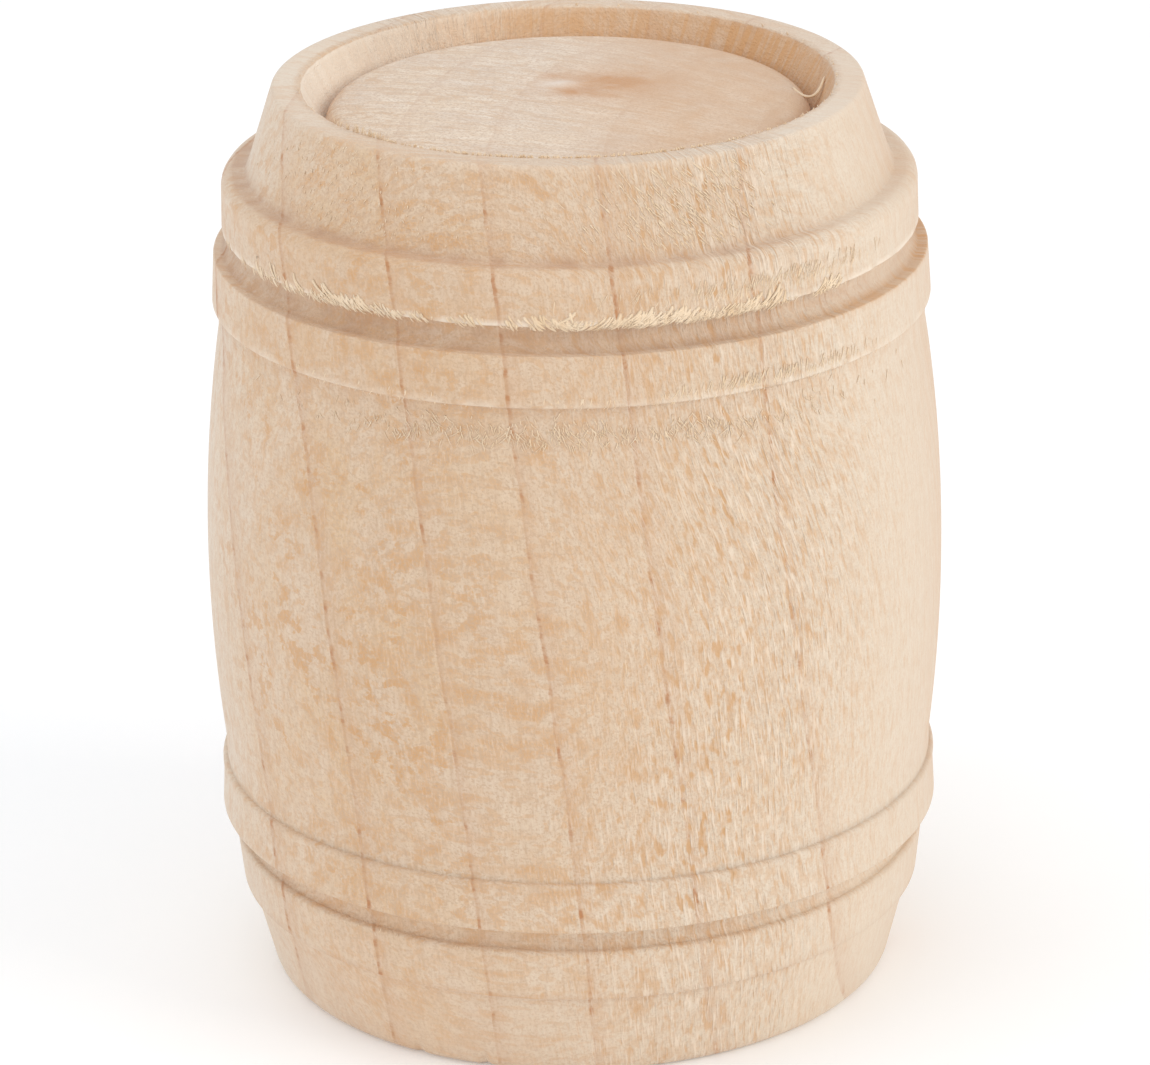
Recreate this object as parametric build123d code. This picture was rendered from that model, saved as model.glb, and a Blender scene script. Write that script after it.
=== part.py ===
from build123d import *
from math import radians, sqrt, tan
import os

# A small barrel turned from pale hardwood. Its hollow wall has four raised hoops cut in the same wood,
# and a low-domed head is set into each end. It stands on its foot at height 0, with the turning axis on Z.
# All sizes are in millimetres.

# The whole barrel. One long arc runs up the side from foot to rim, and the hoops stand proud of it.
height = 31.8
belly_radius = 12.7
belly_height = 15.0
sweep_radius = 54.5

# The chimes are the plain bands beyond the outer hoops. The rim lies just inside the long arc,
# and the lower chime just outside it.
top_chime_height = 2.95
low_chime_height = 3.25
rim_tuck = 0.10
low_chime_proud = 0.25
foot_round = 0.53
rim_round = 0.15

# The hoops: at each end an outer and an inner bead with a narrow cove between them.
outer_hoop_width = 1.86
cove_width = 0.87
inner_hoop_width = 1.75
top_outer_proud = 0.63
top_inner_proud = 0.45
low_inner_proud = 0.37
low_outer_proud = 0.37

# How much wider each bead is at its lower edge than at its upper one.
top_outer_flare = 0.05
top_inner_flare = 0.11
low_inner_flare = 0.09
low_outer_flare = -0.20

# Roundings of the beads, from the soft shoulder under the top chime to the crisp knife-cut edges.
shoulder_round = 0.85
low_shoulder_round = 0.30
hoop_round = 0.20
crisp_round = 0.06

# The coves: their edges stand off the long arc, and their floors are hollowed below the edges.
top_cove_proud = 0.23
low_cove_proud = 0.08
cove_hollow = 0.19

# Below the upper inner hoop the tool left a short flared run before the belly.
run_out_height = 0.90
run_out_proud = 0.14

# The mouth at each end: the flat of the rim, then a bevel down to the seat that holds the head.
rim_width = 0.95
bevel_width = 0.75
bevel_depth = 1.50
ledge_width = 0.95

# The heads: a glued disc with a rounded edge and a low dome, its crown a little below the rim.
glue_gap = 0.05
head_drop = 0.80
head_thickness = 2.70
head_round = 0.75
head_rise = 0.60

# Heights of the cuts along the side, and the radii of the mouth, which follow from the sizes above.
top_chime_root = height - top_chime_height
top_cove_top = top_chime_root - outer_hoop_width
top_cove_foot = top_cove_top - cove_width
belly_top = top_cove_foot - inner_hoop_width
low_cove_foot = low_chime_height + outer_hoop_width
low_cove_top = low_cove_foot + cove_width
belly_foot = low_cove_top + inner_hoop_width


def side(level):
    """Radius of the long arc of the side at a height above the foot."""
    return belly_radius - sweep_radius + sqrt(sweep_radius**2 - (level - belly_height) ** 2)


rim_radius = side(height) - rim_tuck
foot_radius = side(0) + low_chime_proud
mouth_radius = rim_radius - rim_width
seat_radius = mouth_radius - bevel_width
bore_radius = seat_radius - ledge_width
seat_depth = head_drop + head_thickness


def rounded_run(corners):
    """Straight runs through corners of (radius, height, rounding), with roundings that fit their runs."""
    places = [Vector(radius, level) for radius, level, _ in corners]
    roundings = []
    for k in range(1, len(places) - 1):
        back, ahead = places[k] - places[k - 1], places[k + 1] - places[k]
        back_room = back.length * (0.96 if corners[k - 1][2] == 0 else 0.48)
        ahead_room = ahead.length * (0.96 if corners[k + 1][2] == 0 else 0.48)
        half_turn = radians(back.get_angle(ahead) / 2)
        roundings.append(min(corners[k][2], min(back_room, ahead_room) / tan(half_turn)))
    return FilletPolyline(*places, radius=roundings)


def bead(top, width, proud, flare, top_rounding, low_rounding=crisp_round):
    """The two corners of a hoop's face, which stands proud of the long arc at its middle."""
    middle = side(top - width / 2) + proud
    return [(middle - flare / 2, top, top_rounding), (middle + flare / 2, top - width, low_rounding)]


def cove_edge(level, proud):
    """A corner where a cove meets the hoop beside it."""
    return (side(level) + proud, level, 0)


def cove(top, foot, proud):
    """The hollow arc between two hoops, from its upper corner to its lower one."""
    middle = (top + foot) / 2
    floor = (side(middle) + proud - cove_hollow, middle)
    return ThreePointArc(cove_edge(top, proud)[:2], floor, cove_edge(foot, proud)[:2])


def outer_side():
    """The turned outside of the wall, from the bevel in the top mouth to the bevel under the foot."""
    run_out_foot = belly_top - run_out_height
    upper = rounded_run(
        [
            (seat_radius, height - bevel_depth, 0),
            (mouth_radius, height, rim_round),
            (rim_radius, height, rim_round),
            (side(top_chime_root), top_chime_root, 0),
            *bead(top_chime_root, outer_hoop_width, top_outer_proud, top_outer_flare, shoulder_round),
            cove_edge(top_cove_top, top_cove_proud),
        ]
    )
    upper_inner = rounded_run(
        [
            cove_edge(top_cove_foot, top_cove_proud),
            *bead(
                top_cove_foot, inner_hoop_width, top_inner_proud, top_inner_flare, crisp_round, hoop_round
            ),
            (side(belly_top) + run_out_proud, belly_top, crisp_round),
            (side(run_out_foot), run_out_foot, 0),
        ]
    )
    belly = ThreePointArc(
        (side(run_out_foot), run_out_foot), (belly_radius, belly_height), (side(belly_foot), belly_foot)
    )
    lower_inner = rounded_run(
        [
            (side(belly_foot), belly_foot, 0),
            *bead(belly_foot, inner_hoop_width, low_inner_proud, low_inner_flare, hoop_round),
            cove_edge(low_cove_top, low_cove_proud),
        ]
    )
    lower = rounded_run(
        [
            cove_edge(low_cove_foot, low_cove_proud),
            *bead(low_cove_foot, outer_hoop_width, low_outer_proud, low_outer_flare, low_shoulder_round),
            (side(low_chime_height) + low_chime_proud, low_chime_height, 0),
            (foot_radius, 0, foot_round),
            (mouth_radius, 0, rim_round),
            (seat_radius, bevel_depth, 0),
        ]
    )
    top_cove = cove(top_cove_top, top_cove_foot, top_cove_proud)
    low_cove = cove(low_cove_top, low_cove_foot, low_cove_proud)
    return [upper, top_cove, upper_inner, belly, lower_inner, low_cove, lower]


def inner_side():
    """The bore between two counterbored seats, from the bevel under the foot to the one in the mouth."""
    return Polyline(
        (seat_radius, bevel_depth),
        (seat_radius, seat_depth),
        (bore_radius, seat_depth),
        (bore_radius, height - seat_depth),
        (seat_radius, height - seat_depth),
        (seat_radius, height - bevel_depth),
    )


def barrel_wall():
    """The hollow turned wall."""
    section = make_face([*outer_side(), inner_side()])
    return revolve(Plane.XZ * section, Axis.Z)


def head():
    """One head, its flat underside at height 0 and its dome upward."""
    head_radius = seat_radius - glue_gap
    crown = (0, head_thickness + head_rise)
    edge = (head_radius, head_thickness)
    dome = TangentArc(crown, edge, tangent=(1, 0))
    section = make_face([dome, Polyline(edge, (head_radius, 0), (0, 0), crown)])
    section = fillet(section.vertices().sort_by_distance(edge)[0], min(head_round, 0.9 * head_thickness))
    return revolve(Plane.XZ * section, Axis.Z)


def nodes():
    """Each separate piece of the barrel in its place."""
    return {
        "barrel_wall": barrel_wall(),
        "top_head": Pos(0, 0, height - seat_depth) * head(),
        "bottom_head": Pos(0, 0, seat_depth) * Rot(180, 0, 0) * head(),
    }


os.makedirs("parts", exist_ok=True)
for name, piece in nodes().items():
    piece.label = name
    export_step(piece, f"parts/{name}.step")
    print(name, round(piece.volume, 2), "mm3")
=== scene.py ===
from functools import partial
from math import cos, pi, radians, sin, tan

import bpy
import numpy as np
from mathutils import Matrix, Vector


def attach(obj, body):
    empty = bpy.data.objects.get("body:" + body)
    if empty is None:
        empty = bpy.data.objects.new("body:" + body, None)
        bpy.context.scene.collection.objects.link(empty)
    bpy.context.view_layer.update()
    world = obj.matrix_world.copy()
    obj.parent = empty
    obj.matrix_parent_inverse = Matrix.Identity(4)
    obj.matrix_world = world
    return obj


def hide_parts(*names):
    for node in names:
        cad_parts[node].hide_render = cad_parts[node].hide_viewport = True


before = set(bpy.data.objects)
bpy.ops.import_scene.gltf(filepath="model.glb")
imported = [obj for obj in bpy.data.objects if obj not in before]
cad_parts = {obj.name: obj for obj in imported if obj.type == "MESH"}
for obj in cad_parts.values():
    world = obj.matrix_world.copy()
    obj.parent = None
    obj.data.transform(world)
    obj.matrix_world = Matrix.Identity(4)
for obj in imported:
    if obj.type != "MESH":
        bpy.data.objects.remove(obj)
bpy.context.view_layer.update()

# The viewpoint of the photograph: 21 degrees above the horizon and 188 mm from the barrel, through a long
# lens, with the camera rolled by one degree, so that the barrel leans a little to the left.
aim_height = 0.015425
camera_distance = 0.18821
camera_elevation = 0.3693
camera_roll = -0.0162
camera_lens_mm = 169.86

right = Vector((1, 0, 0))
upward = Vector((0, sin(camera_elevation), cos(camera_elevation)))
backward = Vector((0, -cos(camera_elevation), sin(camera_elevation)))
rolled_right = cos(camera_roll) * right + sin(camera_roll) * upward
rolled_upward = cos(camera_roll) * upward - sin(camera_roll) * right
turned = Matrix((rolled_right, rolled_upward, backward)).transposed().to_4x4()
camera = bpy.data.objects.new("camera", bpy.data.cameras.new("camera"))
camera.data.lens = camera_lens_mm
camera.data.sensor_width = 36
camera.data.clip_start = 0.01
camera.matrix_world = Matrix.Translation(Vector((0, 0, aim_height)) + camera_distance * backward) @ turned
bpy.context.collection.objects.link(camera)
bpy.context.scene.camera = camera


# The studio: a sheet of white paper runs out on all sides below the barrel. The brightest of four soft boxes
# stands at the right, the fainter ones overhead, at the left and in front, and the white room fills in the
# rest. Colours are shown as they are.
paper_half = 1.5
paper_white = "#F7F6F4"
paper_shade = "#F4F3F1"
paper_glow = 0.13
room_white = "#F2F6FC"
room_strength = 0.79

# Each soft box: its place and its side in metres, its power in watts and its tint.
soft_boxes = {
    "key_box": ((0.38, -0.18, 0.22), 0.26, 0.71, "#FFF9F0"),
    "top_box": ((-0.10, 0.02, 0.45), 0.30, 0.38, "#FFFFFF"),
    "left_box": ((-0.42, -0.22, 0.19), 0.30, 0.33, "#F4F8FF"),
    "front_box": ((-0.10, -0.55, 0.16), 0.30, 0.22, "#FBFCFF"),
}


def srgb(code):
    """An sRGB hex code as linear colour: a channel up to 0.04045 is divided by 12.92, and above that it is
    raised by 0.055, divided by 1.055 and taken to the power 2.4."""
    channels = (int(code[k : k + 2], 16) / 255 for k in (1, 3, 5))
    return (*(c / 12.92 if c <= 0.04045 else ((c + 0.055) / 1.055) ** 2.4 for c in channels), 1.0)


def add(tree, kind, feeds=(), out=0, **settings):
    """Adds a node with its settings and feeds its inputs, in order or by name. A feed is a value, or an
    output to link from, or None to leave that input alone. Gives the output asked for, or the node itself
    where it has none."""
    made = tree.nodes.new("ShaderNode" + kind)
    for name, value in settings.items():
        setattr(made, name, value)
    for name, value in feeds.items() if isinstance(feeds, dict) else enumerate(feeds):
        if isinstance(value, bpy.types.NodeSocket):
            tree.links.new(value, made.inputs[name])
        elif value is not None:
            made.inputs[name].default_value = value
    return made.outputs[out] if len(made.outputs) else made


def new_material(name):
    """An empty material that uses nodes, and its tree."""
    made = bpy.data.materials.new(name)
    made.use_nodes = True
    made.node_tree.nodes.clear()
    return made, made.node_tree


def put(name, places, faces, material, smooth=True):
    """A mesh object at the origin with these vertices, in metres, and these faces, in this material. The
    faces come in groups, each an array with one row for a face."""
    mesh = bpy.data.meshes.new(name)
    rows = [face for group in faces for face in group.tolist()]
    mesh.from_pydata(np.asarray(places, float).tolist(), [], rows)
    mesh.polygons.foreach_set("use_smooth", np.full(len(mesh.polygons), smooth))
    mesh.materials.append(material)
    mesh.update()
    piece = bpy.data.objects.new(name, mesh)
    bpy.context.collection.objects.link(piece)
    return piece


# Matt white background paper. Its tooth of a tenth of a millimetre is too fine to show, so a faint clouding
# of some 17 mm is drawn in its place. It glows a little, as paper does that is lit from all around.
paper_material, tree = new_material("matt_white_background_paper")
n = partial(add, tree)
clouding = n("TexNoise", {"Vector": n("TexCoord", out="Object"), "Scale": 60.0, "Detail": 3.0})
paper_tone = n("Mix", {0: clouding, 6: srgb(paper_white), 7: srgb(paper_shade)}, out=2, data_type="RGBA")
glow = {"Emission Color": srgb("#FFFFFF"), "Emission Strength": paper_glow}
paper_shader = n("BsdfPrincipled", {"Base Color": paper_tone, "Roughness": 0.9, **glow})
n("OutputMaterial", {0: paper_shader})
corners = [(-paper_half, -paper_half, 0), (paper_half, -paper_half, 0), (paper_half, paper_half, 0)]
corners.append((-paper_half, paper_half, 0))
put("background_paper", corners, [np.array([[0, 1, 2, 3]])], paper_material, smooth=False)

for name, (place, side_length, power, tint) in soft_boxes.items():
    lamp = bpy.data.lights.new(name, "AREA")
    lamp.size = side_length
    lamp.energy = power
    lamp.color = srgb(tint)[:3]
    box = bpy.data.objects.new(name, lamp)
    box.location = place
    box.rotation_euler = (Vector((0, 0, aim_height)) - Vector(place)).to_track_quat("-Z", "Y").to_euler()
    bpy.context.collection.objects.link(box)

room = bpy.data.worlds.new("white_room")
room.use_nodes = True
room.node_tree.nodes["Background"].inputs["Color"].default_value = srgb(room_white)
room.node_tree.nodes["Background"].inputs["Strength"].default_value = room_strength
bpy.context.scene.world = room
bpy.context.scene.view_settings.view_transform = "Standard"


# The blank: one billet of pale maple with upright grain, from which the wall and both heads were turned.
# Its pith lies 34 mm to the right of the axis and leans, so growth rings cross the front as slanting lines.
# Every length of the wood's own pattern is in millimetres: from the pith, round the ring and up the stem.
pith_offset = (32.455, 9.753)
pith_lean = (0.1104, 0.0042)
ring_radii = (16.1, 19.9, 23.63, 28.11, 31.94, 35.31, 38.99, 42.32, 45.9, 49.4)
ring_middle = 32.0
swirl_start, swirl_end, swirl_reach = 16.0, 25.0, 1.3
fibre_lean = 0.12
barrel_radius = 12.7
surface_marks = ("torn", "calm", "proud", "shade_and_brown", "warm_and_shade", "pale_and_highlight")

# Single fibres and pores, 0.02 to 0.06 mm wide, are too fine to show, so the fibres and the grit of cut
# pores are drawn two to four times as coarse.
grain_sizes = {
    "wander": (10.0, 6.2, 14.0),
    "shake": (1.1, 0.62, 1.8),
    "clouds": (2.6, 1.9, 4.5),
    "mottle": (0.70, 0.34, 0.55),
    "ray_groups": (6.0, 1.3, 3.0),
    "rays": (3.2, 0.26, 0.80),
    "small_rays": (0.85, 0.12, 0.28),
    "ray_lines": (4.0, 0.11, 0.50),
    "beads": (3.0, 0.6, 0.60),
    "streaks": (0.26, 0.26, 3.2),
    "fibres": (0.09, 0.07, 0.46),
    "grit": (0.10, 0.09, 0.085),
    "feed_marks": (2.4, 2.4, 0.12),
}
field_detail = {"clouds": 3.0, "beads": 5.0, "streaks": 3.0, "small_rays": 1.0, "mottle": 4.0}
colour_fields = ("wander", "shake", "clouds")

# The rays drift this far round the ring for each millimetre from the pith. What the knife tore and ribbed is
# measured round the barrel, up it and from the pith.
ray_turn = -0.21
fleck_size = (0.24, 0.60, 2.2)
furrow_size = (0.13, 0.70, 2.2)
hair_size = (0.08, 0.75, 2.0)
chatter_size = (0.34, 5.0, 40.0)


def wood(name, tones, ring_strength, ray_strength, stripe, relief=1.0):
    """Solid maple, so the pattern runs through the billet and comes out right on any cut. Each place has
    a distance from the leaning pith, an arc length round it, and a height. Growth rings are lines at set
    distances. Each finer pattern is noise stretched to its own sizes: rays are drawn out from the pith,
    so they show as ribbons on a radial cut and as flecks on a tangential one, and fibres are drawn out
    upward."""
    made, tree = new_material(name)
    n = partial(add, tree)
    smooth = {"interpolation_type": "SMOOTHSTEP"}
    times = {"operation": "MULTIPLY"}
    times_plus = {"operation": "MULTIPLY_ADD"}
    spot = n("VectorMath", {0: n("TexCoord", out="Object"), "Scale": 1000.0}, operation="SCALE")
    height = n("SeparateXYZ", (spot,), out="Z")
    torn, calm, proud, shade_and_brown, warm_and_shade, pale_and_highlight = (
        n("Attribute", out="Fac", attribute_name=mark) for mark in surface_marks
    )

    # The place in the tree, with the fibres leaning where the stem swirled, and a slow wander of the grain.
    along = n("VectorMath", (spot, (-1.0, 0.0, -pith_lean[0])), "Value", operation="DOT_PRODUCT")
    along = n("Math", (along, pith_offset[0]), operation="ADD")
    across = n("VectorMath", (spot, (0.0, 1.0, pith_lean[1])), "Value", operation="DOT_PRODUCT")
    across = n("Math", (across, pith_offset[1]), operation="ADD")
    distance = n("VectorMath", (n("CombineXYZ", (along, across)),), "Value", operation="LENGTH")
    arc = n("Math", (n("Math", (across, along), operation="ARCTAN2"), ring_middle), **times)
    lean = n("MapRange", (height, swirl_start, swirl_end, 0.0, swirl_reach), **smooth)
    lean = n("Math", (height, fibre_lean, lean), **times_plus)
    arc = n("Math", (lean, torn, arc), **times_plus)
    arc = n("Math", (distance, ray_turn, arc), **times_plus)
    leaning = n("CombineXYZ", (distance, arc, height))
    fields = {}
    for kind, sizes in grain_sizes.items():
        if kind == "clouds":
            for shift, amounts in (("wander", (0.55, 0.8, 0.0)), ("shake", (0.14, 0.22, 0.10))):
                centred = n("VectorMath", (fields[shift], (0.5, 0.5, 0.5)), operation="SUBTRACT")
                leaning = n("VectorMath", (centred, amounts, leaning), operation="MULTIPLY_ADD")
        place = n("VectorMath", (leaning, sizes), operation="DIVIDE")
        feeds = {"Vector": place, "Scale": 1.0, "Detail": field_detail.get(kind, 2.0), "Roughness": 0.6}
        fields[kind] = n("TexNoise", feeds, "Color" if kind in colour_fields else 0)
    clouds = n("SeparateColor", (fields["clouds"],), 0).node

    # Growth rings. The curve counts rings outward, whole at each line. The wood darkens towards the line
    # from the pith's side. The line itself is broken into beads, shows most on the hoops, and fades out near
    # the pith and towards the foot.
    first, last, rings = ring_radii[0], ring_radii[-1], len(ring_radii) - 1.0
    distance = n("SeparateXYZ", (leaning,), "X")
    counting = n("FloatCurve", {"Value": n("MapRange", (distance, first, last))}).node
    points = counting.mapping.curves[0].points
    for k, radius in enumerate(ring_radii[1:-1], 1):
        points.new((radius - first) / (last - first), k / rings)
    for point in points:
        point.handle_type = "VECTOR"
    counting.mapping.update()
    count = n("Math", (counting.outputs[0], rings), **times)
    count = n("Math", (fields["small_rays"], 0.022, count), **times_plus)
    year = n("Math", (count,), operation="FRACT")
    before = n("MapRange", (year, 0.955, 0.987), **smooth)
    after = n("MapRange", (year, 0.012, 0.0), **smooth)
    line = n("Math", (before, after), operation="MAXIMUM")
    dashes = n("MapRange", (fields["beads"], 0.47, 0.75, 0.25, 1.0), **smooth)
    outer_wood = n("MapRange", (distance, 20.5, 22.8, 0.0, 1.0), **smooth)
    dashes = n("Math", (dashes, outer_wood), **times)
    crossing = n("MapRange", (height, 2.0, 13.0, 0.35, 1.0), **smooth)
    crossing = n("Math", (proud, 0.70, crossing), **times_plus)
    dashes = n("Math", (dashes, crossing), use_clamp=True, **times)
    line = n("Math", (line, dashes), **times)

    # Where the knife met the rays at a slant it tore flecks and then furrows, which run with the fibres
    # round the barrel: flecks where it met them nearly side on, furrows past that.
    outward = n("SeparateXYZ", (spot,), 0).node
    behind = n("Math", (outward.outputs[1], -1.0), **times)
    facing = n("Math", (outward.outputs[0], behind), operation="ARCTAN2")
    swept = n("CombineXYZ", (n("Math", (facing, barrel_radius, lean), **times_plus), height, distance))
    flecks, furrows, hairs, chatter = (
        n("TexNoise", {0: n("VectorMath", (swept, sizes), operation="DIVIDE"), "Scale": 1.0, "Detail": 1.0})
        for sizes in (fleck_size, furrow_size, hair_size, chatter_size)
    )
    half_turn = n("Math", (facing, pi, 0.0), operation="WRAP")
    furrowed = n("Math", (torn, n("MapRange", (half_turn, 0.40, 0.56), **smooth)), **times)
    flecked = n("Math", (torn, furrowed), operation="SUBTRACT")
    flecked = n("Math", (flecked, n("MapRange", (height, 2.5, 9.0, 0.60, 1.0), **smooth)), **times)

    # How much each part shows: the face across the rays is calm, the cut near the foot is cleaner, and the
    # outer wood is the warmest.
    lively = n("Math", (calm, -0.72, 1.0), **times_plus)
    lively = n("Math", (lively, n("MapRange", (height, 0.0, 8.0, 0.62, 1.0), **smooth)), **times)
    warmth = n("MapRange", (distance, 27.0, 40.0, 0.25, 1.30), **smooth)
    warmth = n("Math", (warmth, n("MapRange", (distance, 41.5, 45.0, 1.0, 0.50), **smooth)), **times)
    warmth = n("Math", (warmth, n("MapRange", (height, 0.0, 10.0, 0.25, 1.0), **smooth)), **times)
    clustered = n("MapRange", (clouds.outputs[2], 0.42, 0.58, 0.25, 1.0), **smooth)
    clustered = n("Math", (clustered, n("Math", (warmth, lively), **times)), **times)
    cooler = n("MapRange", (height, 15.0, 5.0, 0.42, 1.0), **smooth)
    cooler = n("Math", (cooler, n("MapRange", (outward.outputs[0], -9.0, 3.0), **smooth)), **times)
    wisps = n("Math", (fields["grit"], 0.10, -0.13), **times_plus)
    wisps = n("Math", (fields["fibres"], 0.16, wisps), **times_plus)
    ribbon = n("Math", (fields["rays"], wisps), operation="ADD")
    grouped = n("MapRange", (fields["ray_groups"], 0.34, 0.58, 0.25, 1.0), **smooth)
    grouped = n("Math", (grouped, lively), **times)
    parted = n("MapRange", (fields["fibres"], 0.66, 0.40, 0.55, 1.0), **smooth)
    grouped = n("Math", (grouped, parted), **times)

    # Colour, from the ground up. A layer is a pattern, the values where it starts and is whole, its
    # strength, where it shows, and its tone.
    layers = (
        (clouds.outputs[0], 0.36, 0.66, 0.75, warmth, "tan"),
        (clouds.outputs[1], 0.40, 0.68, 0.60, 1.0, "grey"),
        (calm, 0.0, 1.0, 0.85, 1.0, "calm"),
        (cooler, 0.0, 1.0, 0.55, 1.0, "calm"),
        (fields["mottle"], 0.53, 0.60, 0.85, clustered, "ray"),
        (fields["streaks"], 0.46, 0.70, 0.35, lively, "streak"),
        (ribbon, 0.48, 0.66, 0.82, grouped, "ray"),
        (fields["small_rays"], 0.53, 0.63, 0.46, lively, "ray"),
        (fields["ray_lines"], 0.50, 0.66, ray_strength, 1.0, "ray"),
        (fields["fibres"], 0.48, 0.68, 0.24, lively, "fibre"),
        (fields["fibres"], 0.46, 0.30, 0.60, lively, "streak"),
        (fields["grit"], 0.52, 0.36, 0.75, lively, "streak"),
        (fields["feed_marks"], 0.50, 0.68, 0.16, lively, "streak"),
        (year, 0.78, 1.0, 0.22, outer_wood, "late"),
        (line, 0.0, 1.0, ring_strength, 1.0, "line"),
        (flecks, 0.53, 0.70, 0.92, flecked, "furrow"),
        (furrows, 0.54, 0.67, 0.62, furrowed, "furrow"),
        (hairs, 0.55, 0.69, 0.72, torn, "fibre"),
    )
    tone = srgb(tones["pale"])
    for pattern, start, whole, strength, where, key in layers:
        amount = n("MapRange", (pattern, start, whole, 0.0, strength), **smooth)
        amount = n("Math", (amount, where), **times)
        tone = n("Mix", {0: amount, 6: tone, 7: srgb(tones[key])}, 2, data_type="RGBA")
    stripes = n("MapRange", (chatter, 0.42, 0.58, 1 - 0.35 * stripe, 1 + 0.25 * stripe), **smooth)
    striped = n("Math", (warm_and_shade, stripes), use_clamp=True, **times)
    # The marks go on last: painted shade in the creases (on the heads also a real brown patch), a warm tone
    # that is partly painted shade in the mouth, and pale crushed fibres with painted highlights.
    for amount, key in ((shade_and_brown, "shade_and_brown"), (striped, "warm_and_shade"), (pale_and_highlight, "pale_and_highlight")):
        tone = n("Mix", {0: amount, 6: tone, 7: srgb(tones[key])}, 2, data_type="RGBA")

    # Relief, in millimetres: a pattern, how far it stands up, and where it shows. Each is centred on zero,
    # so that the surface has no step where the pattern ends.
    rise = 0.0
    for pattern, depth, where in (
        (flecks, -0.07, flecked),
        (furrows, -0.09, furrowed),
        (hairs, 0.07, torn),
        (chatter, -0.07 * stripe, warm_and_shade),
        (fields["fibres"], 0.024, lively),
        (fields["grit"], 0.042, lively),
        (fields["ray_lines"], 0.05 * ray_strength, 1.0),
        (fields["streaks"], 0.012, 1.0),
        (fields["feed_marks"], 0.014, 1.0),
    ):
        centred = n("Math", (pattern, 0.5), operation="SUBTRACT")
        rise = n("Math", (n("Math", (centred, where), **times), depth, rise), **times_plus)
    bump = n("Bump", {"Strength": relief, "Distance": 0.001, "Height": rise})
    roughness = n("MapRange", (fields["streaks"], 0.3, 0.7, 0.57, 0.68))
    surface = {"Base Color": tone, "Roughness": roughness, "Normal": bump}
    shader = n("BsdfPrincipled", {**surface, "Sheen Weight": 0.15, "Sheen Roughness": 0.5})
    n("OutputMaterial", {0: shader})
    return made


# The wall, turned from the billet between centres: chimes, four beads cut as hoops, coves between them, the
# belly, a bevelled mouth at each end and a bore. The knife left most edges crisp, but under the upper outer
# hoop and on the right of the belly it tore the grain. Sizes in millimetres, as in the solid part.
wall_height = 31.8
belly_radius = barrel_radius
belly_height = 15.0
sweep_radius = 54.5
top_chime_height = 2.95
low_chime_height = 3.25
rim_tuck = 0.10
low_chime_proud = 0.25
foot_round = 0.53
rim_round = 0.15
outer_hoop_width = 1.86
cove_width = 0.87
inner_hoop_width = 1.75
top_outer_proud = 0.63
top_inner_proud = 0.45
low_inner_proud = 0.37
low_outer_proud = 0.37
top_outer_flare = 0.05
top_inner_flare = 0.11
low_inner_flare = 0.09
low_outer_flare = -0.20
shoulder_round = 0.85
low_shoulder_round = 0.30
hoop_round = 0.20
crisp_round = 0.06
top_cove_proud = 0.23
low_cove_proud = 0.08
cove_hollow = 0.19
run_out_height = 0.90
run_out_proud = 0.14
rim_width = 0.95
bevel_width = 0.75
bevel_depth = 1.50
ledge_width = 0.95
seat_depth = 3.50

# What the knife left: a slow waver, pits in the torn grain, a frayed hoop edge, ribs in the mouth, creases
# that it left rounded, a ragged rim, and nicks at the foot by their bearing in degrees and depth.
waver_height = 0.02
pit_depth = 0.018
fray_height = 0.22
rib_height = 0.03
crease_fill = 0.05
rim_waver = 0.030
rim_dip = 0.02
foot_nicks = ((-31.0, 0.13), (-17.9, 0.17), (-2.5, 0.14))

top_chime_root = wall_height - top_chime_height
top_cove_top = top_chime_root - outer_hoop_width
top_cove_foot = top_cove_top - cove_width
belly_top = top_cove_foot - inner_hoop_width
run_out_foot = belly_top - run_out_height
low_cove_foot = low_chime_height + outer_hoop_width
low_cove_top = low_cove_foot + cove_width
belly_foot = low_cove_top + inner_hoop_width

column_count = 396
front_crowding = 0.36
coarse_step = 0.30
fine_step = 0.20
hidden_step = 2.5


def side(level):
    """Radius of the side at a height above the foot: a long arc of the sweep's radius, widest at the
    belly."""
    return belly_radius - sweep_radius + np.sqrt(sweep_radius**2 - (level - belly_height) ** 2)


mouth_radius = side(wall_height) - rim_tuck - rim_width
seat_radius = mouth_radius - bevel_width
bore_radius = seat_radius - ledge_width


def divided(start, end, step):
    """Points on the straight run from start to end, no further apart than step, without the last one."""
    start, end = np.array(start, float), np.array(end, float)
    count = max(1, int(np.ceil(np.linalg.norm(end - start) / step)))
    return start + (end - start) * (np.arange(count) / count)[:, None]


def rounded_run(corners, step):
    """Points along straight runs through corners of (radius, height, rounding). Each rounding is an arc
    that touches both runs: it starts the rounding times the tangent of half the turn before the corner."""
    places = [np.array(c[:2], float) for c in corners]
    runs, start = [], places[0]
    for k in range(1, len(places) - 1):
        back, ahead = places[k] - places[k - 1], places[k + 1] - places[k]
        back_length, ahead_length = np.linalg.norm(back), np.linalg.norm(ahead)
        back, ahead = back / back_length, ahead / ahead_length
        turn = np.arctan2(back[0] * ahead[1] - back[1] * ahead[0], back @ ahead)
        reach = corners[k][2] * tan(abs(turn) / 2)
        back_room = back_length * (0.96 if corners[k - 1][2] == 0 else 0.48)
        ahead_room = ahead_length * (0.96 if corners[k + 1][2] == 0 else 0.48)
        reach = min(reach, back_room, ahead_room)
        rounding = reach / tan(abs(turn) / 2)
        inward = np.array([-back[1], back[0]]) * np.sign(turn)
        touch = places[k] - reach * back
        runs.append(divided(start, touch, step))
        count = max(2, int(np.ceil(abs(turn) / radians(24))), int(np.ceil(rounding * abs(turn) / step)))
        swept = (abs(turn) * np.arange(count) / count)[:, None]
        runs.append(touch + rounding * (np.sin(swept) * back + (1 - np.cos(swept)) * inward))
        start = places[k] + reach * ahead
    runs.append(divided(start, places[-1], step))
    return np.vstack(runs)


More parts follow.
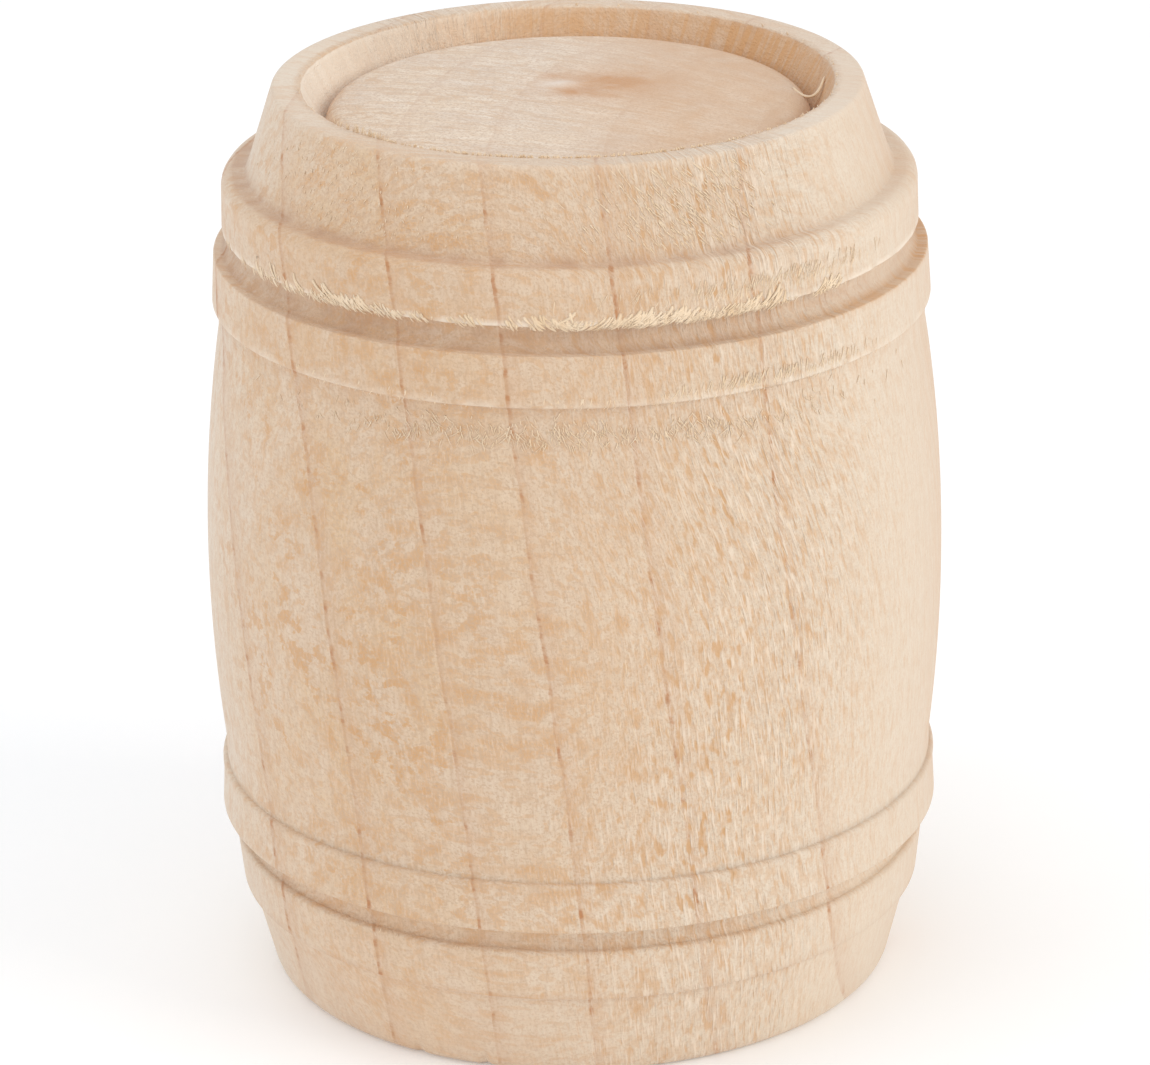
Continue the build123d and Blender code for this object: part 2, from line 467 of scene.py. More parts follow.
def bead(top, width, proud, flare, top_rounding, low_rounding=crisp_round):
    """The two corners of a hoop's face, which stands proud of the long arc at its middle."""
    middle = side(top - width / 2) + proud
    return [(middle - flare / 2, top, top_rounding), (middle + flare / 2, top - width, low_rounding)]


def cove_edge(level, proud):
    """A corner where a cove meets the hoop beside it."""
    return (side(level) + proud, level, 0)


def cove(top, foot, proud, step):
    """The hollow between two hoops: a parabola from corner to corner, deepest halfway."""
    share = np.arange(int((top - foot) / step)) / int((top - foot) / step)
    level = top - (top - foot) * share
    return np.column_stack([side(level) + proud - cove_hollow * 4 * share * (1 - share), level])


def wall_section():
    """The section's outline as (radius, height), down the outside from the top seat and up the bore."""
    upper_inner_hoop = (inner_hoop_width, top_inner_proud, top_inner_flare)
    low_outer_hoop = (outer_hoop_width, low_outer_proud, low_outer_flare)
    outside = [
        rounded_run(
            [
                (seat_radius, wall_height - seat_depth, 0),
                (seat_radius, wall_height - bevel_depth, crisp_round),
                (mouth_radius, wall_height, rim_round),
                (side(wall_height) - rim_tuck, wall_height, rim_round),
                (side(top_chime_root), top_chime_root, crisp_round),
                *bead(top_chime_root, outer_hoop_width, top_outer_proud, top_outer_flare, shoulder_round),
                cove_edge(top_cove_top, top_cove_proud),
            ],
            fine_step,
        ),
        cove(top_cove_top, top_cove_foot, top_cove_proud, fine_step),
        rounded_run(
            [
                cove_edge(top_cove_foot, top_cove_proud),
                *bead(top_cove_foot, *upper_inner_hoop, crisp_round, hoop_round),
                (side(belly_top) + run_out_proud, belly_top, crisp_round),
                (side(run_out_foot), run_out_foot, 0),
            ],
            fine_step,
        ),
    ]
    belly_points = int((run_out_foot - belly_foot) / coarse_step)
    levels = np.linspace(run_out_foot, belly_foot, belly_points, False)
    outside.append(np.column_stack([side(levels), levels]))
    outside.append(
        rounded_run(
            [
                (side(belly_foot), belly_foot, 0),
                *bead(belly_foot, inner_hoop_width, low_inner_proud, low_inner_flare, hoop_round),
                cove_edge(low_cove_top, low_cove_proud),
            ],
            fine_step,
        )
    )
    outside.append(cove(low_cove_top, low_cove_foot, low_cove_proud, fine_step))
    outside.append(
        rounded_run(
            [
                cove_edge(low_cove_foot, low_cove_proud),
                *bead(low_cove_foot, *low_outer_hoop, low_shoulder_round),
                (side(low_chime_height) + low_chime_proud, low_chime_height, crisp_round),
                (side(0) + low_chime_proud, 0, foot_round),
                (mouth_radius, 0, rim_round),
                (seat_radius, bevel_depth, crisp_round),
                (seat_radius, seat_depth, 0),
            ],
            fine_step * 1.25,
        )
    )
    low_ledge, top_ledge = (bore_radius, seat_depth), (bore_radius, wall_height - seat_depth)
    inside = [
        divided((seat_radius, seat_depth), low_ledge, hidden_step),
        divided(low_ledge, top_ledge, hidden_step),
        divided(top_ledge, (seat_radius, wall_height - seat_depth), hidden_step),
    ]
    return np.vstack(outside + inside)


def noise(turns, level, per_turn, per_mm, seed):
    """Smooth noise from -1 to 1 over a turned surface. Random numbers stand on a lattice that closes round
    the turn, and between them the value eases along 3t^2 - 2t^3 both ways."""
    rows = int(40 * per_mm) + 3
    lattice = np.random.default_rng(seed).uniform(-1, 1, (per_turn, rows))
    u, v = (turns % 1.0) * per_turn, np.clip((level + 2.0) * per_mm, 0, rows - 2)
    i, j = np.floor(u).astype(int), np.floor(v).astype(int)
    a, b = u - i, v - j
    a, b = a * a * (3 - 2 * a), b * b * (3 - 2 * b)
    i, k = i % per_turn, (i + 1) % per_turn
    low = lattice[i, j] * (1 - a) + lattice[k, j] * a
    high = lattice[i, j + 1] * (1 - a) + lattice[k, j + 1] * a
    return low * (1 - b) + high * b


def near(value, centre, width):
    """A bell of height 1 round a centre: one over e at the width."""
    return np.exp(-(((value - centre) / width) ** 2))


def carried_round(section, bearings):
    """A section of (radius, height) carried round the axis: its radii, its heights and the bearings, each
    as a grid with one row for a point of the section and one column for a bearing."""
    radii = np.repeat(section[:, 0][:, None], len(bearings), 1)
    levels = np.repeat(section[:, 1][:, None], len(bearings), 1)
    return radii, levels, np.repeat(bearings[None, :], len(section), 0)


def turned_places(radius, bearing, level):
    """Places in metres of points by their radius, bearing and height. Bearing 0 is the front, and bearings
    grow to the right: X is the radius times the sine and Y is less the radius times the cosine."""
    return np.stack([radius * np.sin(bearing), -radius * np.cos(bearing), level], -1).reshape(-1, 3) / 1000


def grid_faces(rows, columns, close_rows):
    """Quads of a grid whose columns close round the turn, and whose rows close too if asked. They face
    whoever sees the rows run down and the columns run to the right."""
    i, j = np.meshgrid(np.arange(rows if close_rows else rows - 1), np.arange(columns), indexing="ij")
    i, j = i.ravel(), j.ravel()
    here, below = i * columns, (i + 1) % rows * columns
    beside = (j + 1) % columns
    return np.column_stack([here + j, below + j, below + beside, here + beside])


def write_marks(piece, marks):
    """Gives the piece one number from 0 to 1 for each vertex and each surface mark, for its material."""
    for name, values in zip(surface_marks, marks):
        written = piece.data.attributes.new(name, "FLOAT", "POINT")
        written.data.foreach_set("value", np.clip(values, 0, 1).astype(np.float32).ravel())


def torn_by(bearing):
    """How far the knife tore the grain, 0 to 1, by the bearing round the barrel: it lifts the rays where
    it meets them at a slant from one side, halfway between a tangential and a radial face, and lays them
    on the other. So it is the cube of the sine of twice the angle from the radial face, where that is
    above 0."""
    return np.clip(np.sin(2 * (bearing - radians(-15))), 0, 1) ** 3


def hand_of_the_lathe(turns, level):
    """How far the outside stands off its section: a slow waver, less the pits in the torn grain, which are
    where two noises that lean with the fibres rise above a floor."""
    swirl = swirl_reach * np.clip((level - swirl_start) / (swirl_end - swirl_start), 0, 1) ** 2
    leaning = turns + (fibre_lean * level + swirl) / (2 * np.pi * belly_radius)
    pits = np.clip(noise(leaning, level, 260, 0.7, 2) - 0.1, 0, 1)
    pits = pits + np.clip(noise(leaning, level, 190, 1.2, 3) - 0.2, 0, 1)
    return waver_height * noise(turns, level, 5, 0.12, 1) - pit_depth * pits * torn_by(2 * np.pi * turns)


# The wall's grid, with its columns closer together at the front. Hidden are the seats and the bore. The ribs
# that the chattering knife left grow stronger from the left of the mouth to its right.
share = np.arange(column_count) / column_count
bearing = 2 * np.pi * share - front_crowding * np.sin(2 * np.pi * share)
section = wall_section()
radius, level, turns = carried_round(section, bearing / (2 * np.pi))
angle = turns * 2 * np.pi
hidden = (radius < seat_radius + 0.01) * 1.0
outside = (radius > mouth_radius + 0.2) * (1.0 - hidden)
in_mouth = (radius < mouth_radius - 0.02) * (level > wall_height - seat_depth - 0.5)
to_right = np.clip((np.sin(angle) + 0.9) / 1.6, 0, 1)
ribs = 0.5 + 0.5 * noise(turns, 0 * level, 200, 0.5, 8)

# The lower edge of the upper outer hoop is frayed up and down, most at the front right, the front left and
# the back. The creases under the upper chime and above the lower inner hoop are a little filled.
radius = radius + outside * hand_of_the_lathe(turns, level)
fray = 0.5 * noise(turns, 0 * level, 90, 0.3, 4) + 0.5 * noise(turns, 0 * level, 230, 0.3, 5)
fray_zone = near(angle, radians(18), radians(20)) + 0.7 * near(angle, radians(200), radians(26))
fray_zone = fray_zone + 0.5 * near(np.abs(angle - 2 * np.pi), radians(46), radians(16))
fray_zone = np.clip(fray_zone + 0.15, 0, 1)
level = level + outside * near(level, top_cove_top, 0.10) * fray_zone * fray * fray_height
above_bevel = np.clip((level - wall_height + bevel_depth) / 0.4, 0, 1)
radius = radius + rib_height * ribs * to_right * in_mouth * above_bevel
filled = 1.8 * near(level, belly_foot + 0.10, 0.32) + near(level, top_chime_root, 0.08)
radius = radius + crease_fill * filled * outside * (radius < side(level) + 0.30)
rim_edge = near(radius, mouth_radius, 0.14) * near(level, wall_height, 0.10)
radius = radius + rim_waver * rim_edge * noise(turns, 0 * level, 210, 0.5, 9)
level = level - rim_dip * rim_edge * np.clip(noise(turns, 0 * level, 160, 0.5, 10), 0, 1)
for nick_bearing, nick_depth in foot_nicks:
    gap = np.abs((np.degrees(angle) - nick_bearing + 180) % 360 - 180)
    radius = radius - outside * nick_depth * near(gap, 0, 0.8) * near(level, 0.1, 0.45)
level = np.clip(level, 0, wall_height)

# Painted shade in the creases and coves, where less light falls: the height, how far the shade reaches up
# and down, its strength, how far off the long arc the surface can stand there, and how much weaker it is at
# the right.
creases = (
    (top_chime_root + 0.04, 0.15, 0.55, 0.45, 0.80),
    ((top_cove_top + top_cove_foot) / 2, 0.42, 0.41, 0.30, 0.40),
    (top_cove_foot + 0.03, 0.07, 0.45, 0.30, 0.40),
    (belly_top - 0.22, 0.20, 0.10, np.inf, 0.0),
    (belly_foot, 0.25, 0.06, np.inf, 0.0),
    ((low_cove_top + low_cove_foot) / 2, 0.40, 0.05, 0.18, 0.0),
    (low_chime_height, 0.10, 0.25, np.inf, 0.0),
)

# Marks in the colour, one number for each vertex: proud on the hoops; painted shade in the creases; a warm
# tone in the mouth, on the upper hoops and at the far right, with painted shade on the right of the mouth;
# and paler edges, where crushed fibres are paler, with painted highlights on the shoulder of the upper outer
# hoop and on the left of the mouth.
proud = np.clip((radius - side(level)) / 0.40, 0, 1) * outside
mottled = 0.75 + 0.5 * noise(turns, level, 150, 2.2, 7)
# The painted shade in the creases fades towards the right, and a warm line takes its place at the foot of
# the upper cove.
rightward_ramp = np.clip((np.sin(angle) - 0.30) / 0.50, 0, 1)
shade_and_brown = 0 * level
for middle, reach, strength, standing, weaker in creases:
    in_crease = near(level, middle, reach) * (radius < side(level) + standing)
    shade_and_brown = shade_and_brown + strength * in_crease * (1 - weaker * rightward_ramp)
shade_and_brown = np.clip(shade_and_brown * mottled, 0, 1)
# In the mouth the warm tone grows to the right: the wood's orange rib streaks, and painted shade on the
# right of the bevel, which faces away from the key light.
warm_and_shade = in_mouth * (0.16 + to_right * (0.44 + 0.25 * ribs))
warm_and_shade = warm_and_shade + 0.28 * outside * near(np.degrees(angle), 84, 13)
warm_and_shade = warm_and_shade + 0.15 * proud * (level > 20) * np.clip(0.7 - np.sin(angle), 0, 1)
warm_and_shade = warm_and_shade + 0.60 * rightward_ramp * near(level, top_cove_foot + 0.02, 0.07) * outside
pale_and_highlight = 0.8 * near(level, top_cove_top + 0.06, 0.10) * (radius > side(level) + 0.35)
shoulder_glint = 0.45 + 0.55 * near(angle, radians(25), radians(45))
# A painted highlight along the shoulder of the upper outer hoop, under the chime.
pale_and_highlight = pale_and_highlight + 0.75 * near(level, top_chime_root - 0.50, 0.08) * shoulder_glint
pale_and_highlight = pale_and_highlight + 0.5 * near(level, belly_top + 0.05, 0.10) * (radius > side(level) + 0.30)
pale_and_highlight = pale_and_highlight * np.clip(0.65 + 0.9 * noise(turns, level, 200, 1.2, 6), 0, 1)
pale_and_highlight = pale_and_highlight + 0.22 * near(level, wall_height, 0.12) * (radius > mouth_radius - 0.1)
# Painted light: the left of the mouth, whose bevel faces the key light at the right, is painted paler.
pale_and_highlight = pale_and_highlight + in_mouth * np.clip(1 - 2 * to_right, 0, 1) * (1 - 0.20 * ribs)

# Bare maple, cut along the grain by a turning knife and never sanded: it looks dry, with a faint soft sheen
# and no gloss, and its rays show as small darker flecks and ribbons among pale fibres.
wall_material = wood(
    "maple_turned_long_grain",
    {
        "pale": "#DAC0A4",
        "tan": "#D7B58D",
        "grey": "#D5BCA2",
        "calm": "#DFCFBA",
        "ray": "#CF9F6D",
        "furrow": "#CD9E6D",
        "streak": "#C9A98A",
        "fibre": "#EBD8C2",
        "late": "#C69C7A",
        "line": "#AF6A2B",
        # Painted shade for the creases and coves.
        "shade_and_brown": "#B68B6A",
        # The mouth's orange streaks, also used for painted shade on the right of the mouth.
        "warm_and_shade": "#D2A270",
        # Pale crushed fibre, also used for the painted highlights.
        "pale_and_highlight": "#F0E0CC",
    },
    ring_strength=0.76,
    ray_strength=0.15,
    stripe=1.0,
)
# The face across the rays is calm. The pattern leans as far as the grain is torn, so the torn mark runs on
# over the rim, where a jump in it would squeeze the pattern into a line.
calm = np.cos(angle - radians(72)) ** 2 * outside
torn = torn_by(angle + radians(9) * np.clip((16 - level) / 8, 0, 1)) * (1.0 - hidden)
wall_faces = grid_faces(len(section), column_count, True)
wall = put("barrel_wall_turned", turned_places(radius, angle, level), [wall_faces], wall_material)
write_marks(wall, (torn, calm, proud, shade_and_brown, warm_and_shade, pale_and_highlight))
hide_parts("barrel_wall")
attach(wall, "root")


# Torn fibres: slivers of the same wood that the knife lifted and left hanging by one end, thickest under
# the upper outer hoop and on the slanting grain at the front right and back left. Each is curved and
# tapered, and its root is sunk a little into the wood.
sliver_rings = 6
root_depth = 0.008
upper_edge = side(top_cove_top + outer_hoop_width / 2) + top_outer_proud + top_outer_flare / 2
inner_edge = side(belly_top + inner_hoop_width / 2) + top_inner_proud + top_inner_flare / 2
low_edge = side(low_cove_foot - outer_hoop_width / 2) + low_outer_proud - low_outer_flare / 2


def slivers(name, rooted, level, surface, length, width, lift, sweep, curl, material, upright=False):
    """Lifted slivers, one for each entry of the arrays. Along a share t from root to tip, a sliver runs
    down (or up) by its length times t, aside by its length times (sweep t + curl t squared), and away from
    the surface by its lift times t to the power 1.5. Its width follows the root of 1 - t, and its section
    is a diamond."""
    count = len(rooted)
    way = 1 if upright else -1
    t = np.linspace(0, 1, sliver_rings)[None, :]
    across = length[:, None] * (sweep[:, None] * t + curl[:, None] * t**2)
    spine = level[:, None] + way * length[:, None] * t
    bearings = rooted[:, None] + across / surface(spine)
    radii = surface(spine) + hand_of_the_lathe(bearings / (2 * np.pi), spine)
    radii = radii + lift[:, None] * t**1.5 - root_depth
    half = 0.5 * width[:, None] * np.sqrt(1.02 - t) * np.minimum(1, 0.55 + 2 * t)
    slope = sweep[:, None] + 2 * curl[:, None] * t
    norm = np.hypot(1, slope)
    corner_side, corner_out = np.array([-1, 0, 1, 0]) * -way, np.array([0, -0.3, 0, 0.42])
    arc = half[..., None] * corner_side / norm[..., None]
    high = spine[..., None] - way * half[..., None] * corner_side * (slope / norm)[..., None]
    out = radii[..., None] + half[..., None] * corner_out
    places = turned_places(out, bearings[..., None] + arc / radii[..., None], high)
    first = np.arange(count)[:, None, None] * sliver_rings * 4
    ring, corner = np.arange(sliver_rings - 1)[None, :, None] * 4, np.arange(4)[None, None, :]
    here, beside = first + ring + corner, first + ring + (corner + 1) % 4
    quads = np.stack([here, beside, beside + 4, here + 4], -1).reshape(-1, 4)
    roots = first[:, 0] + np.array([3, 2, 1, 0])
    tips = first[:, 0] + (sliver_rings - 1) * 4 + np.arange(4)
    piece = put(name, places, [quads, roots, tips], material)
    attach(piece, "root")


# Torn maple fibre: dry, matt and paler than the cut wood, because each lifted sliver scatters light. Its
# streaks are 0.4 mm across and 1.1 mm long.
sliver_material, tree = new_material("maple_torn_fibre")
n = partial(add, tree)
sliver_place = n("VectorMath", (n("TexCoord", out="Object"), (2500.0, 2500.0, 900.0)), operation="MULTIPLY")
sliver_noise = n("TexNoise", {"Vector": sliver_place, "Scale": 1.0, "Detail": 1.0})
sliver_tone = n("Mix", {0: sliver_noise, 6: srgb("#F3DFC4"), 7: srgb("#DEBD93")}, 2, data_type="RGBA")
sliver_shader = n("BsdfPrincipled", {"Base Color": sliver_tone, "Roughness": 0.6, "Sheen Weight": 0.15})
n("OutputMaterial", {0: sliver_shader})

dice = np.random.default_rng(41)


def scatter(*groups):
    """Bearings drawn in groups of (middle in degrees, spread in degrees, count), each on a bell curve."""
    drawn = [dice.normal(middle, spread, count) for middle, spread, count in groups]
    return np.radians(np.concatenate(drawn))


# From the lower edge of the upper outer hoop hang clumps of six curled slivers each.
clumps = scatter((12, 10, 66), (32, 11, 46), (-44, 13, 44), (-10, 22, 30), (196, 14, 56), (136, 12, 28))
per_clump = 6
rooted = np.repeat(clumps, per_clump) + dice.normal(0, radians(1.1), len(clumps) * per_clump)
size = np.repeat(dice.lognormal(-0.2, 0.42, len(clumps)), per_clump)
count = len(rooted)
start = top_cove_top + dice.uniform(0.02, 0.34, count) * size
slivers(
    "torn_fibres_upper_hoop",
    rooted,
    start,
    lambda z: upper_edge + 0 * z,
    np.clip(start - top_cove_top + dice.uniform(-0.16, 0.13, count), 0.06, 0.62),
    np.clip(dice.uniform(0.06, 0.15, count) * size, 0.04, 0.18),
    dice.uniform(0.005, 0.05, count),
    dice.uniform(-0.45, 0.20, count) * np.sign(np.sin(rooted)),
    dice.uniform(-1.6, -0.1, count) * np.sign(np.sin(rooted)),
    sliver_material,
)
# On the face of that hoop lie finer and flatter ones.
rooted = scatter((36, 10, 190), (26, 14, 60), (218, 12, 150))
count = len(rooted)
start = top_cove_top + dice.uniform(0.35, 1.25, count)
slivers(
    "torn_fibres_upper_hoop_face",
    rooted,
    start,
    lambda z: upper_edge - 0.01 + 0 * z,
    dice.uniform(0.18, 0.50, count),
    dice.uniform(0.03, 0.055, count),
    dice.uniform(0.00, 0.008, count),
    dice.uniform(-0.35, 0.05, count),
    dice.uniform(-0.5, 0.1, count),
    sliver_material,
)
# On the face of the upper inner hoop they lie towards its lower edge, thickest at the front right.
rooted = scatter((34, 13, 170), (5, 25, 40), (214, 16, 130), (-40, 14, 40))
count = len(rooted)
thickest = np.abs(rooted - radians(36)) < radians(20)
start = belly_top + dice.uniform(0.02, 0.75, count) * np.where(thickest, 1, 0.5)
slivers(
    "torn_fibres_inner_hoop",
    rooted,
    start,
    lambda z: inner_edge - 0.01 + 0 * z,
    np.clip(start - belly_top + dice.uniform(-0.12, 0.08, count), 0.05, 0.45),
    dice.uniform(0.035, 0.065, count),
    dice.uniform(0.00, 0.012, count),
    dice.uniform(-0.45, 0.15, count),
    dice.uniform(-0.5, 0.2, count),
    sliver_material,
)
# The chime was torn at its right into short slanting crumbs, and sprinkled with finer ones at its left.
rooted = scatter((20, 8, 320), (200, 10, 220), (-44, 12, 170))
count = len(rooted)
leftward = np.sin(rooted + radians(8)) < 0
slivers(
    "torn_fibres_chime",
    rooted,
    dice.uniform(top_chime_root + 0.35, wall_height - 0.15, count),
    lambda z: side(z) - rim_tuck * (z - top_chime_root) / top_chime_height,
    np.where(leftward, dice.uniform(0.05, 0.13, count), dice.uniform(0.11, 0.28, count)),
    dice.uniform(0.035, 0.065, count),
    dice.uniform(0.00, 0.03, count),
    np.where(leftward, dice.normal(0.1, 0.5, count), dice.normal(0.85, 0.20, count)),
    dice.normal(0, 0.2, count),
    sliver_material,
)
# On the inner edge of the rim stand short whiskers, with two longer tufts at the front left.
rooted = scatter((0, 30, 280), (-54, 3.0, 9), (-46, 2.2, 12), (-38, 8, 40), (100, 30, 20))
count = len(rooted)
tufted = np.abs(np.degrees(rooted) + 50) < 8
slivers(
    "torn_whiskers_rim",
    rooted,
    np.full(count, wall_height - 0.02),
    lambda z: mouth_radius + 0.06 + 0 * z,
    np.where(tufted, dice.uniform(0.12, 0.32, count), dice.uniform(0.04, 0.12, count)),
    np.where(tufted, dice.uniform(0.05, 0.09, count), dice.uniform(0.05, 0.13, count)),
    dice.normal(0, 0.03, count),
    dice.normal(0, 0.35, count),
    dice.normal(0, 0.30, count),
    sliver_material,
    upright=True,
)
# The lower outer hoop has a few flat ones on its face.
rooted = scatter((0, 24, 150), (180, 28, 150))
count = len(rooted)
start = low_cove_foot - dice.uniform(-0.04, 1.10, count)
slivers(
    "torn_fibres_low_hoop",
    rooted,
    start,
    lambda z: low_edge - 0.01 + low_outer_flare * (low_cove_foot - z) / outer_hoop_width,
    dice.uniform(0.12, 0.40, count),
    dice.uniform(0.03, 0.06, count),
    dice.uniform(0.00, 0.015, count),
    dice.uniform(-0.25, 0.10, count),
    dice.uniform(-0.7, 0.1, count),
    sliver_material,
)
# On the belly they follow the fibres, which lean most where the stem swirled.
rooted = scatter((30, 10, 820), (210, 12, 560))
count = len(rooted)
start = dice.uniform(9.5, 24.2, count)
climb = np.clip((start - swirl_start) / (swirl_end - swirl_start), 0, 1)
slant = fibre_lean + swirl_reach * 6 * climb * (1 - climb) / (swirl_end - swirl_start)
slivers(
    "torn_fibres_belly",
    rooted,
    start,
    side,
    dice.uniform(0.20, 0.75, count),
    dice.uniform(0.025, 0.050, count),
    dice.uniform(0.002, 0.018, count),
    slant + dice.normal(0, 0.08, count),
    dice.normal(0, 0.10, count),
    sliver_material,
)
# Crumbs lie across the foot of the short flared run under the upper inner hoop.
rooted = scatter((2, 22, 430), (190, 24, 260))
count = len(rooted)
start = run_out_foot + dice.normal(0.00, 0.24, count)
slivers(
    "torn_fibres_under_hoop",
    rooted,
    start,
    lambda z: side(np.minimum(z, run_out_foot)) + 0.02,
    dice.uniform(0.10, 0.36, count),
    dice.uniform(0.030, 0.060, count),
    dice.uniform(0.00, 0.03, count),
    dice.normal(0.2, 0.5, count),
    dice.normal(0, 0.4, count),
    sliver_material,
)


# A curled shaving of the same wood, left in the mouth at the right between the head and the bevel. Its
# spine is a parabola through three points in millimetres, and it is thinner at both ends.
shaving_points = np.array([(7.60, 0.80, 31.12), (8.22, 0.35, 30.92), (8.68, 1.10, 31.38)])
shaving_rings, shaving_sides, shaving_thickness = 17, 6, 0.15
t = np.linspace(0, 1, shaving_rings)[:, None]
spine = 2 * (t - 0.5) * (t - 1) * shaving_points[0] + 4 * t * (1 - t) * shaving_points[1]
spine = spine + 2 * t * (t - 0.5) * shaving_points[2]
forward = np.gradient(spine, axis=0)
forward = forward / np.linalg.norm(forward, axis=1)[:, None]
aside = np.cross(forward, (0, 0, 1))
aside = aside / np.linalg.norm(aside, axis=1)[:, None]
half = 0.5 * shaving_thickness * (0.35 + 0.65 * np.sin(pi * t) ** 0.5)
swept = 2 * np.pi * np.arange(shaving_sides) / shaving_sides
wide = np.cos(swept)[None, :, None] * aside[:, None, :] * half[:, None]
deep = 0.6 * np.sin(swept)[None, :, None] * np.cross(aside, forward)[:, None, :] * half[:, None]
places = (spine[:, None, :] + wide + deep).reshape(-1, 3) / 1000
first = np.arange(shaving_sides)[None, :]
last = first + (shaving_rings - 1) * shaving_sides
tube = grid_faces(shaving_rings, shaving_sides, False)
shaving = put("curled_shaving", places, [tube, first, last[:, ::-1]], sliver_material)
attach(shaving, "root")


# Dark specks where a pore or a grain of grit was cut open: a groove, the upper hoop and the belly hold the
# five that show from the front. Each has its bearing in degrees, its height, how far off the long arc it
# lies, and its length.
# The material is a cut pore with dust in it: dark brown, matt and mottled at a tenth of a millimetre.
speck_material, tree = new_material("maple_dark_pore_speck")
n = partial(add, tree)
speck_noise = n("TexNoise", {"Vector": n("TexCoord", out="Object"), "Scale": 9000.0, "Detail": 1.0})
speck_tone = n("Mix", {0: speck_noise, 6: srgb("#4A3626"), 7: srgb("#8A6A4C")}, 2, data_type="RGBA")
speck_shader = n("BsdfPrincipled", {"Base Color": speck_tone, "Roughness": 0.8})
n("OutputMaterial", {0: speck_shader})
specks = np.array(
    [
        (-60.6, 27.60, 0.62, 0.09),
        (-31.4, 26.30, 0.06, 0.10),
        (-28.5, 13.55, 0.00, 0.06),
        (-9.5, 14.34, 0.00, 0.07),
        (-1.2, 12.96, 0.00, 0.06),
        (202.0, 17.20, 0.00, 0.07),
    ]
)
slivers(
    "pore_specks",
    np.radians(specks[:, 0]),
    specks[:, 1],
    lambda z: side(z) + specks[:, 2][:, None],
    specks[:, 3],
    specks[:, 3] * 0.8,
    np.zeros(len(specks)),
    np.full(len(specks), 0.3),
    np.zeros(len(specks)),
    speck_material,
)


# The heads: a disc turned from the same billet for each end, low-domed and rounded at its edge, glued on
# the ledge of its seat. The lathe's centre left a small torn nub, a hollow beside it and a brown patch.
glue_gap = 0.05
head_thickness = 2.70
head_round = 0.75
head_rise = 0.60
nub_height = 0.07
hollow_depth = 0.06
head_waver = 0.012
head_columns = 256
head_step = 0.16
head_radius = seat_radius - glue_gap


def head_section(step):
    """The head's outline as (radius, height) from the crown to the middle of the underside: a low parabola,
    a rounded edge, a straight side and a flat."""
    radii = np.arange(0.0, head_radius - head_round, step)[1:]
    dome = np.column_stack([radii, head_thickness + head_rise * (1 - (radii / head_radius) ** 2)])
    corner = (head_radius, head_thickness, head_round)
    rest = rounded_run([(*dome[-1], 0), corner, (head_radius, 0, 0.1), (step, 0, 0)], step)
    return np.vstack([dome[:-1], rest])


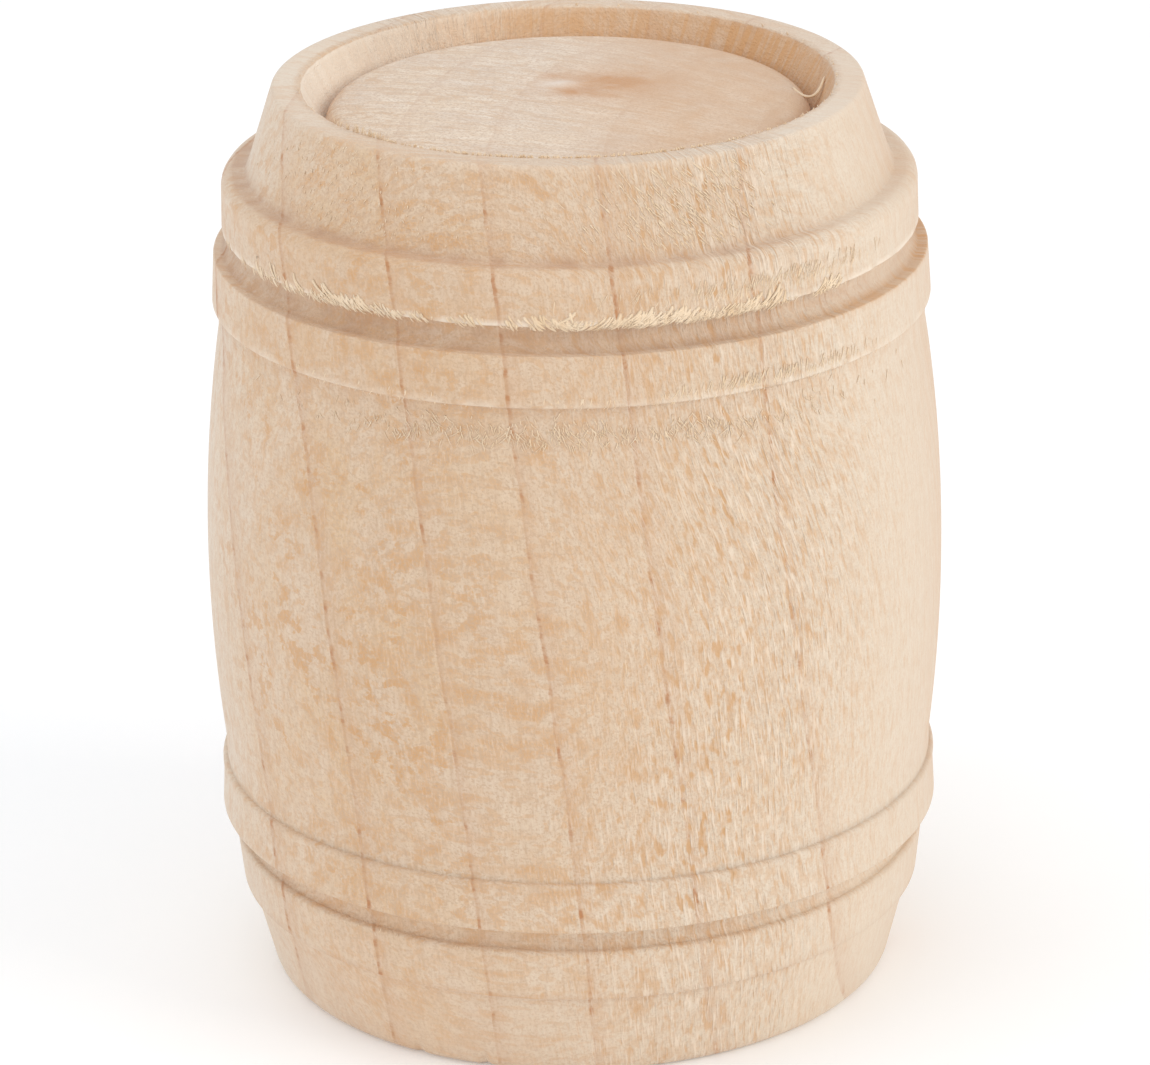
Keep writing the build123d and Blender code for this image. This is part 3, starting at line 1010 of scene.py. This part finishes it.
def head(name, node, lift, flip, material, nub):
    """The head's section carried round the axis, closed by a fan at the crown and one at the underside. On
    a slow waver of the top, one bell raises the nub and another sinks the hollow, and three more bells add
    up to the brown patch. Their strength is nub. A flipped head is turned by half a turn round X."""
    section = head_section(head_step)
    rows = len(section)
    r, z, a = carried_round(section, 2 * np.pi * np.arange(head_columns) / head_columns)
    turns = a / (2 * np.pi)
    x, y = r * np.sin(a), -r * np.cos(a)
    top = (z > head_thickness - 0.4) * 1.0
    z = z + top * head_waver * noise(turns, r, 40, 1.2, 21) * near(r, 5, 5) * np.clip(r / 3, 0, 1)
    z = z + top * nub * nub_height * near(np.hypot((x + 0.02) / 1.6, y), 0, 0.30)
    z = z - top * nub * hollow_depth * near(np.hypot(x - 0.55, y + 0.25), 0, 0.45)
    shade_and_brown = 0.50 * near(np.hypot((x - 0.20) / 0.65, (y + 0.90) / 0.50), 0, 1)
    shade_and_brown = shade_and_brown + 0.95 * near(np.hypot((x - 1.60) / 1.90, (y - 0.05) / 1.70), 0, 1)
    shade_and_brown = shade_and_brown + 0.40 * near(np.hypot((x + 0.40) / 0.60, (y - 1.00) / 0.40), 0, 1)
    shade_and_brown = nub * shade_and_brown * (1 + 0.35 * noise(turns, r, 30, 2.0, 22) * np.clip(r / 1.5, 0, 1))
    # Painted shade round the rounded edge of the head, where it sits down in its seat.
    shade_and_brown = shade_and_brown + 0.4 * near(r, head_radius, 0.35)
    warm_and_shade = 0.55 * np.clip((x + 0.5) / 4, 0, 1) * (1 + 0.3 * noise(turns, r, 60, 2.5, 23))
    pale_and_highlight = 0.6 * nub * near(np.hypot((x + 0.30) / 1.8, y), 0, 0.36)
    crown, under = [0, 0, head_thickness + head_rise + nub_height * nub], [0, 0, 0]
    places = np.vstack([np.stack([x, y, z], -1).reshape(-1, 3), [crown, under]])
    j = np.arange(head_columns)
    k = (j + 1) % head_columns
    last = (rows - 1) * head_columns
    crown_fan = np.column_stack([j, k, np.full(head_columns, len(places) - 2)])
    under_fan = np.column_stack([last + k, last + j, np.full(head_columns, len(places) - 1)])
    if flip:
        places[:, 1:] *= -1
    places[:, 2] += lift
    faces = [grid_faces(rows, head_columns, False), crown_fan, under_fan]
    piece = put(name, places / 1000, faces, material)
    marks = [np.clip(values, 0, 1) for values in (0 * r, 0 * r, 0 * r, shade_and_brown, warm_and_shade, pale_and_highlight)]
    write_marks(piece, [np.append(values.ravel(), (values[0].mean(), 0.0)) for values in marks])
    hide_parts(node)
    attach(piece, "root")


# The same maple cut across the grain. End grain is duller and a little rougher to the eye, its rays are fine
# lines that run out from the pith, and its ring lines are fainter than those of the wall.
head_material = wood(
    "maple_turned_end_grain",
    {
        "pale": "#EEDCC6",
        "tan": "#E7D1B6",
        "grey": "#DAC6B3",
        "calm": "#E4D3C1",
        "ray": "#D6B38F",
        "furrow": "#CFA988",
        "streak": "#CDB298",
        "fibre": "#E8D7C5",
        "late": "#D0B196",
        "line": "#BA8E6A",
        # The brown patch by the lathe's centre, also used for the painted shade round the head's edge.
        "shade_and_brown": "#C68F5C",
        "warm_and_shade": "#CFA378",
        "pale_and_highlight": "#EEE2D4",
    },
    ring_strength=0.30,
    ray_strength=0.36,
    stripe=0.0,
    relief=0.7,
)
head("top_head_turned", "top_head", wall_height - seat_depth, False, head_material, 1.0)
head("bottom_head_turned", "bottom_head", seat_depth, True, head_material, 0.5)
